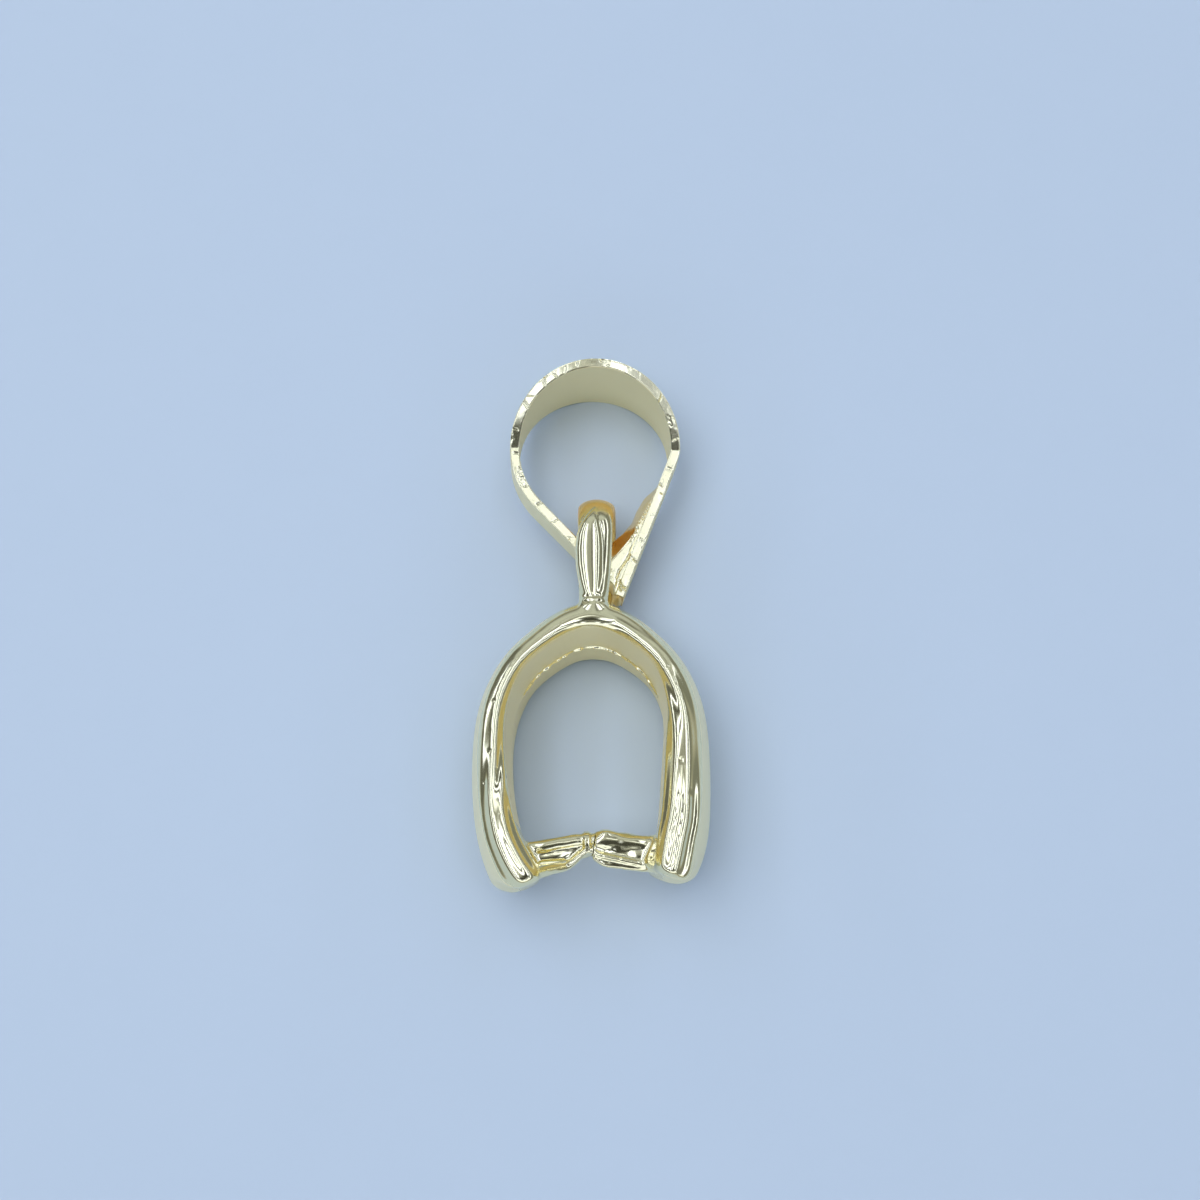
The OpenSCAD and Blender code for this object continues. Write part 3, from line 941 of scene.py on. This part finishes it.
def lap_marks(obj):
    """Cracks and file marks on the near flat of the solder."""
    for _ in range(3):
        x, y, z = points_of(obj).T
        split_long(obj, (z > 0.9) & (x > 0.4) & (x < 2.0) & (y < 0.2) & (y > -2.7), 0.045)
    co = points_of(obj)
    x, y, z = co.T
    near = (z > 0.98) & (x < 2.0) & (y < 0.2)
    change = np.zeros(len(co))
    for route, half, depth in CRACKS:
        change -= depth * np.exp(-(route_gap(co, route) / half) ** 2)
    change += 0.006 * noise(co, 0.5, 81) + 0.0012 * noise(co, 0.14, 82)
    co[:, 2] += np.where(near, change, 0)
    set_points(obj, co)


def split_long(obj, chosen, limit):
    """Splits the edges whose points are both chosen and that are longer than limit."""
    bm = bmesh.new()
    bm.from_mesh(obj.data)
    bm.verts.ensure_lookup_table()
    edges = [e for e in bm.edges if all(chosen[v.index] for v in e.verts) and e.calc_length() > limit]
    bmesh.ops.subdivide_edges(bm, edges=edges, cuts=1)
    bmesh.ops.triangulate(bm, faces=[f for f in bm.faces if len(f.verts) > 3])
    bm.to_mesh(obj.data)
    bm.free()


def strap_metal():
    """The strap with its soldered end, its lump and its beads as one closed mesh."""
    route = strap_route()
    obj = joined("strap_metal", [band_part(route, strap_width(route[:, 1]))])
    combine(obj, lap_part(), "UNION")
    combine(obj, flat_part(), "UNION")
    combine(obj, ball(*TAIL_LUMP), "UNION")
    lap_marks(obj)
    for x, y, along, across in BEADS:
        level = np.interp(y, [0, LOOP_UP], [STRAP_END_W, STRAP_ARM_W]) / 2 - BEAD_SINK
        combine(obj, ball((x, y, level), (across, along, BEAD_H), 12), "UNION")
    return obj


# Materials

class Nodes:
    """Short calls for a node tree."""

    def __init__(self, tree):
        self.tree = tree

    def add(self, kind, **values):
        node = self.tree.nodes.new(kind)
        for name, value in values.items():
            setattr(node, name, value)
        return node

    def put(self, socket, value):
        if isinstance(value, bpy.types.NodeSocket):
            self.tree.links.new(value, socket)
        else:
            socket.default_value = value

    def math(self, operation, a, b=0.0):
        node = self.add("ShaderNodeMath", operation=operation)
        self.put(node.inputs[0], a)
        self.put(node.inputs[1], b)
        return node.outputs[0]

    def dot(self, a, b):
        node = self.add("ShaderNodeVectorMath", operation="DOT_PRODUCT")
        self.put(node.inputs[0], a)
        self.put(node.inputs[1], b)
        return node.outputs["Value"]

    def smooth(self, value, low, high, to_low=0.0, to_high=1.0):
        node = self.add("ShaderNodeMapRange", interpolation_type="SMOOTHSTEP")
        for index, item in enumerate((value, low, high, to_low, to_high)):
            self.put(node.inputs[index], item)
        return node.outputs[0]

    def mix(self, share, a, b):
        node = self.add("ShaderNodeMix", data_type="RGBA")
        self.put(node.inputs[0], share)
        for socket, value in ((node.inputs[6], a), (node.inputs[7], b)):
            self.put(socket, value if isinstance(value, bpy.types.NodeSocket) else (*value, 1))
        return node.outputs[2]

    def noise(self, place, scale, detail):
        node = self.add("ShaderNodeTexNoise")
        node.inputs["Scale"].default_value = scale
        node.inputs["Detail"].default_value = detail
        self.put(node.inputs["Vector"], place)
        return node.outputs["Fac"]

    def ramp(self, value, stops):
        node = self.add("ShaderNodeValToRGB")
        ramp = node.color_ramp
        for index, (place, color) in enumerate(stops):
            stop = ramp.elements[index] if index < 2 else ramp.elements.new(place)
            stop.position = place
            stop.color = (*color, 1)
        self.put(node.inputs[0], value)
        return node.outputs[0]


GOLD = (0.97, 0.89, 0.56)
CLOUDY_GOLD = (0.94, 0.85, 0.51)
# Orange painted into the base colour where the mesh asks for it, as painted reflection of gold in gold
PAINTED_REFLECTION_ORANGE = (1.0, 0.64, 0.18)
# Where the gold is satin, some of the light is scattered instead of mirrored
SATIN_METALLIC = 0.58
# How far the gold turns cloudy, how much rougher or smoother it is there, and its least roughness
CLOUD_SHARE = 0.25
CLOUD_ROUGHNESS = 0.05
LEAST_ROUGHNESS = 0.03


def gold(name, polish, satin, ripple):
    """Pale plated gold. The mesh says where it is satin, and where orange is painted in as painted
    reflection.
    """
    material = bpy.data.materials.new(name)
    material.use_nodes = True
    n = Nodes(material.node_tree)
    shader = n.tree.nodes["Principled BSDF"]
    place = n.add("ShaderNodeTexCoord").outputs["Object"]
    cloud = n.noise(place, 900, 3)
    fine = n.noise(place, 9000, 4)
    warm = n.add("ShaderNodeAttribute", attribute_name="warm").outputs["Fac"]
    dull = n.add("ShaderNodeAttribute", attribute_name="satin").outputs["Fac"]
    n.put(shader.inputs["Metallic"], n.smooth(dull, 0, 1, 1, SATIN_METALLIC))
    tint = n.mix(n.math("MULTIPLY", cloud, CLOUD_SHARE), GOLD, CLOUDY_GOLD)
    # Painted reflection: the base colour turns orange where the mesh's layer asks for it
    n.put(shader.inputs["Base Color"], n.mix(warm, tint, PAINTED_REFLECTION_ORANGE))
    rough = n.smooth(dull, 0, 1, polish, satin)
    cloudy = n.math("MULTIPLY", n.math("SUBTRACT", cloud, 0.5), CLOUD_ROUGHNESS)
    rough = n.math("ADD", rough, cloudy)
    n.put(shader.inputs["Roughness"], n.math("MAXIMUM", rough, LEAST_ROUGHNESS))
    bump_node = n.add("ShaderNodeBump")
    bump_node.inputs["Strength"].default_value = 1
    bump_node.inputs["Distance"].default_value = ripple * MM
    n.put(bump_node.inputs["Height"], n.math("ADD", fine, n.math("MULTIPLY", cloud, 3)))
    n.put(shader.inputs["Normal"], bump_node.outputs[0])
    return material


def shades(obj, **layers):
    """Keeps a number for each point of the mesh that the material reads."""
    for name, values in layers.items():
        layer = obj.data.attributes.new(name, "FLOAT", "POINT")
        layer.data.foreach_set("value", np.clip(values, 0, 1).astype(np.float32))


def clip_shades(obj):
    """The clip is satin on its steep walls, with orange painted in as painted reflection inside the eye and
    on the walls.
    """
    x, y, z = points_of(obj).T
    n = normals_of(obj)
    steep = step(0.62, 0.30, np.abs(n[:, 2]))
    wall = steep * step(3.0, 2.5, np.abs(z)) * step(-3.7, -4.4, y)
    inside = step(0.0, 0.4, -(n[:, 0] * x + n[:, 1] * (y - INSIDE_Y)))
    wall *= 1 - step(-13.1, -13.5, y) * step(3.3, 3.0, np.abs(x))
    wall *= 1 - step(-13.5, -14.0, y) * inside * step(2.2, 1.6, z)
    eye = step(-2.9, -2.4, y) * step(1.2, 0.9, np.abs(x))
    over = step(0.2, 0.9, y) * step(1.95, 1.55, z)
    flank = step(-2.6, -2.0, y) * step(1.5, 1.1, z) * step(0.0, 0.3, x)
    root = step(-13.3, -13.8, y) * bump(np.abs(x), 3.1, 0.9) * step(2.0, 1.4, z)
    # Painted reflection: orange inside the eye, and on the walls, most where they face the clip's inside
    warm = np.maximum(eye * np.maximum(over, flank), wall * (0.02 + 0.16 * inside))
    satin = np.maximum(np.maximum(wall, 0.6 * root), eye * np.maximum(steep, 0.5 * over))
    shades(obj, warm=warm, satin=satin)


def strap_shades(obj):
    """The strap is satin apart from its cut edges; painted reflection makes it orange on the soldered end's
    slope and at the tail.
    """
    x, y, z = points_of(obj).T
    n = normals_of(obj)
    edge = step(0.5, 0.8, np.abs(n[:, 2]))
    bead_x, bead_y = np.array(BEAD_LINE[::-1]).T
    lap = step(0.03, -0.08, x - np.interp(y, bead_y, bead_x)) * step(3.15, 2.8, y) * step(0.95, 0.90, z)
    lap *= step(-1.6, -1.2, y) * step(0.0, 0.2, x)
    tail = step(-2.2, -2.45, y) * step(0.98, 0.9, z)
    plain = 1 - edge
    # Painted reflection: orange on the soldered end's slope and at the tail, and faintly on all but the cut
    # edges
    warm = np.maximum(np.maximum(0.7 * lap, 0.6 * tail), 0.08 * plain)
    shades(obj, warm=warm, satin=plain * (1 - 0.75 * lap))


# Making and placing

def finished(obj, matrix, sharp, material):
    """Lays a piece down in the CAD frame, smooth but for edges sharper than this many degrees."""
    to_frame(obj, matrix)
    obj.data.shade_smooth()
    obj.data.set_sharp_from_angle(angle=math.radians(sharp))
    obj.data.materials.clear()
    obj.data.materials.append(material)


clip = clip_metal()
clip_shades(clip)
clip_place = Matrix.Translation((0, CLIP_UP, EYE_R)) @ CLIP_TURN
finished(clip, clip_place, 60, gold("cast_gold", polish=0.11, satin=0.36, ripple=0.0004))
strap = strap_metal()
strap_shades(strap)
finished(strap, loop_matrix(), 38, gold("strap_gold", polish=0.18, satin=0.42, ripple=0.0010))
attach(clip, "clip")
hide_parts("pinch_clip")
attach(strap, "loop")
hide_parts("chain_loop")

# Floor, light and camera

FLOOR_SIZE = 1.2
FLOOR_COLOR = (0.443, 0.521, 0.589)
FLOOR_SHADE = (0.434, 0.514, 0.583)
FLOOR_ROUGHNESS = 0.6


def pale_floor():
    """A plain pale surface with a faint cloudiness."""
    mesh = bpy.data.meshes.new("floor")
    h = FLOOR_SIZE / 2
    mesh.from_pydata([(-h, -h, 0), (h, -h, 0), (h, h, 0), (-h, h, 0)], [], [(0, 1, 2, 3)])
    floor = bpy.data.objects.new("floor", mesh)
    bpy.context.scene.collection.objects.link(floor)
    material = bpy.data.materials.new("floor")
    material.use_nodes = True
    n = Nodes(material.node_tree)
    shader = n.tree.nodes["Principled BSDF"]
    shader.inputs["Roughness"].default_value = FLOOR_ROUGHNESS
    cloud = n.noise(n.add("ShaderNodeTexCoord").outputs["Object"], 260, 2)
    n.put(shader.inputs["Base Color"], n.mix(cloud, FLOOR_COLOR, FLOOR_SHADE))
    mesh.materials.append(material)
    return floor


floor = pale_floor()

# The photograph was taken from about 80 mm above the bail, 13 degrees from the vertical
EYE_POINT = Vector((2.376, -16.32, 78.33)) * MM
LOOK_AT = Vector((0.30, 1.207, 2.35)) * MM
FOCAL = 50.7
SENSOR = 36


def photo_camera():
    """The camera of the photograph, with the world's x axis level in its view."""
    data = bpy.data.cameras.new("camera")
    data.lens = FOCAL
    data.sensor_width = SENSOR
    data.clip_start = 0.002
    camera = bpy.data.objects.new("camera", data)
    bpy.context.scene.collection.objects.link(camera)
    forward = (LOOK_AT - EYE_POINT).normalized()
    upward = Vector((1, 0, 0)).cross(forward).normalized()
    sideways = forward.cross(upward)
    turn = Matrix((sideways, upward, -forward)).transposed().to_4x4()
    camera.matrix_world = Matrix.Translation(EYE_POINT) @ turn
    bpy.context.scene.camera = camera


photo_camera()

# The light: a pale tent, darkest a little above the horizon, with bright and dark panels on both sides, and
# the dark of the room behind the viewer. WALL is the tent's colour from the horizon (0) to the zenith (1).
WALL = [
    (0.00, (0.42, 0.44, 0.42)),
    (0.12, (0.38, 0.40, 0.38)),
    (0.24, (0.16, 0.17, 0.17)),
    (0.50, (0.22, 0.24, 0.25)),
    (0.64, (0.31, 0.34, 0.36)),
    (0.80, (0.33, 0.36, 0.39)),
    (1.00, (0.25, 0.27, 0.28)),
]
BRIGHT = (2.3, 2.6, 3.5)
PALE = (0.50, 0.56, 0.62)
DARK = (0.06, 0.065, 0.06)
ROOM = (0.05, 0.054, 0.052)
# Each patch has its azimuth (0 is +x, 90 is +y) and its angle from the zenith, its half width round the
# azimuth and its half height, all in degrees, then the softness of its edge and its colour.
PATCHES = [
    (90, 50, 44, 20, 0.12, PALE),
    (180, 30, 52, 24, 0.12, (0.34, 0.37, 0.39)),
    (0, 28, 52, 22, 0.12, (0.25, 0.27, 0.27)),
    (180, 16, 46, 3.4, 0.09, BRIGHT),
    (180, 33, 50, 3.2, 0.09, BRIGHT),
    (180, 25, 50, 2.8, 0.05, DARK),
    (180, 46, 52, 4.6, 0.08, DARK),
    (180, 72, 60, 15, 0.10, (0.12, 0.13, 0.13)),
    (180, 60, 52, 2.6, 0.07, BRIGHT),
    (0, 17, 46, 4.2, 0.09, BRIGHT),
    (0, 7, 46, 2.0, 0.05, DARK),
    (0, 33, 50, 2.2, 0.07, BRIGHT),
    (0, 25.5, 50, 2.8, 0.05, DARK),
    (0, 43, 50, 4.6, 0.08, DARK),
    (0, 54, 52, 2.2, 0.07, BRIGHT),
    (0, 72, 60, 14, 0.10, (0.19, 0.21, 0.21)),
    (66, 12.5, 8, 4.5, 0.05, (1.30, 1.45, 1.75)),
    (-90, 30, 30, 11, 0.09, ROOM),
    (-90, 14, 9, 9, 0.06, ROOM),
    (-90, 34, 34, 1.2, 0.03, PALE),
    (-90, 60, 40, 12, 0.09, (1.10, 1.22, 1.45)),
]
# What the camera sees beyond the floor
BACKDROP = (0.47, 0.59, 0.77)


def toward(azimuth, tilt):
    """The unit vector that leans by tilt from the zenith towards the azimuth, in degrees."""
    a, t = math.radians(azimuth), math.radians(tilt)
    return Vector((math.cos(a) * math.sin(t), math.sin(a) * math.sin(t), math.cos(t)))


def studio_world():
    """The tent, painted over all directions. The camera itself sees the plain backdrop instead."""
    world = bpy.data.worlds.new("studio")
    world.use_nodes = True
    world.node_tree.nodes.clear()
    n = Nodes(world.node_tree)
    ray = n.add("ShaderNodeTexCoord").outputs["Generated"]
    color = n.ramp(n.dot(ray, (0, 0, 1)), WALL)
    for azimuth, tilt, across, along, edge, tint in PATCHES:
        ahead = toward(azimuth, tilt)
        side = toward(azimuth + 90, 90)
        up = toward(azimuth, tilt - 90)
        reach = n.math("MAXIMUM", n.dot(ray, ahead), 0.001)
        mask = 1.0
        for axis, half in ((side, across), (up, along)):
            place = n.math("ABSOLUTE", n.math("DIVIDE", n.dot(ray, axis), reach))
            limit = math.tan(math.radians(half))
            mask = n.math("MULTIPLY", mask, n.smooth(place, limit + edge, limit - edge))
        color = n.mix(mask, color, tint)
    seen = n.add("ShaderNodeLightPath").outputs["Is Camera Ray"]
    color = n.mix(seen, color, BACKDROP)
    background = n.add("ShaderNodeBackground")
    n.put(background.inputs["Color"], color)
    n.put(n.add("ShaderNodeOutputWorld").inputs["Surface"], background.outputs[0])
    bpy.context.scene.world = world


LAMP_WIDTH = 0.34
LAMP_POWER = 0.80
LAMP_AWAY = 0.4


def overhead_light():
    """A soft lamp overhead, a little to the left. The metal scatters its light but doesn't mirror it."""
    data = bpy.data.lights.new("overhead", "AREA")
    data.shape = "DISK"
    data.size = LAMP_WIDTH
    data.energy = LAMP_POWER
    lamp = bpy.data.objects.new("overhead", data)
    lamp.visible_glossy = False
    lamp.location = LAMP_AWAY * toward(158, 12)
    lamp.rotation_euler = lamp.location.to_track_quat("Z", "Y").to_euler()
    bpy.context.scene.collection.objects.link(lamp)


overhead_light()
studio_world()
bpy.context.scene.view_settings.view_transform = "Standard"
